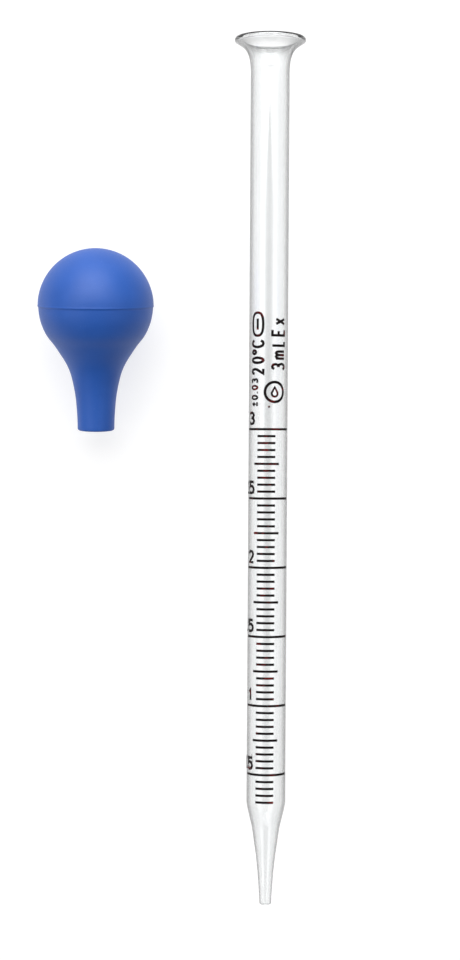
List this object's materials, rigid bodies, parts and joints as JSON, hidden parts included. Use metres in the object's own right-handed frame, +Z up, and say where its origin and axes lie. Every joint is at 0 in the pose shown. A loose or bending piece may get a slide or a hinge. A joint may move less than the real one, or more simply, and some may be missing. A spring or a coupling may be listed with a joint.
{
  "type": "graduated dropper pipette with rubber bulb",
  "caption": "Clear glass dropper pipette with a flared mouth, graduated barrel and drawn tip, lying beside its detached blue rubber squeeze bulb.",
  "frame": {"origin": "middle of the whole object's footprint, on the table that it lies on", "axes": "+Z up from the table; +Y along the glass tube towards its flared mouth; the bulb lies on the -X side"},
  "size_m": [0.0568, 0.1866, 0.0246],
  "materials": {
    "clear_glass": "fire-polished",
    "fired_enamel": "satin",
    "blue_rubber": "matte"
  },
  "bodies": {
    "tube": {"glass_tube": "clear_glass", "graduation_major_lines": "fired_enamel", "graduation_half_lines": "fired_enamel", "graduation_minor_lines": "fired_enamel", "scale_numerals": "fired_enamel", "capacity_mark": "fired_enamel", "temperature_mark": "fired_enamel", "tolerance_mark": "fired_enamel", "oval_mark": "fired_enamel", "ring_mark": "fired_enamel"},
    "bulb": {"bulb_body": "blue_rubber"},
    "dome": {"bulb_dome": "blue_rubber"}
  },
  "joints": [
    {"name": "bulb_carry", "type": "slide", "parent": "tube", "child": "bulb", "axis": [0.2542, 0.9671, 0], "range_m": [0, 0.1448]},
    {"name": "bulb_squeeze", "type": "slide", "parent": "bulb", "child": "dome", "axis": [0, -0.9914, -0.1305], "range_m": [0, 0.008], "stiffness_N_per_m": 300, "deforming": ["bulb_dome"]}
  ]
}
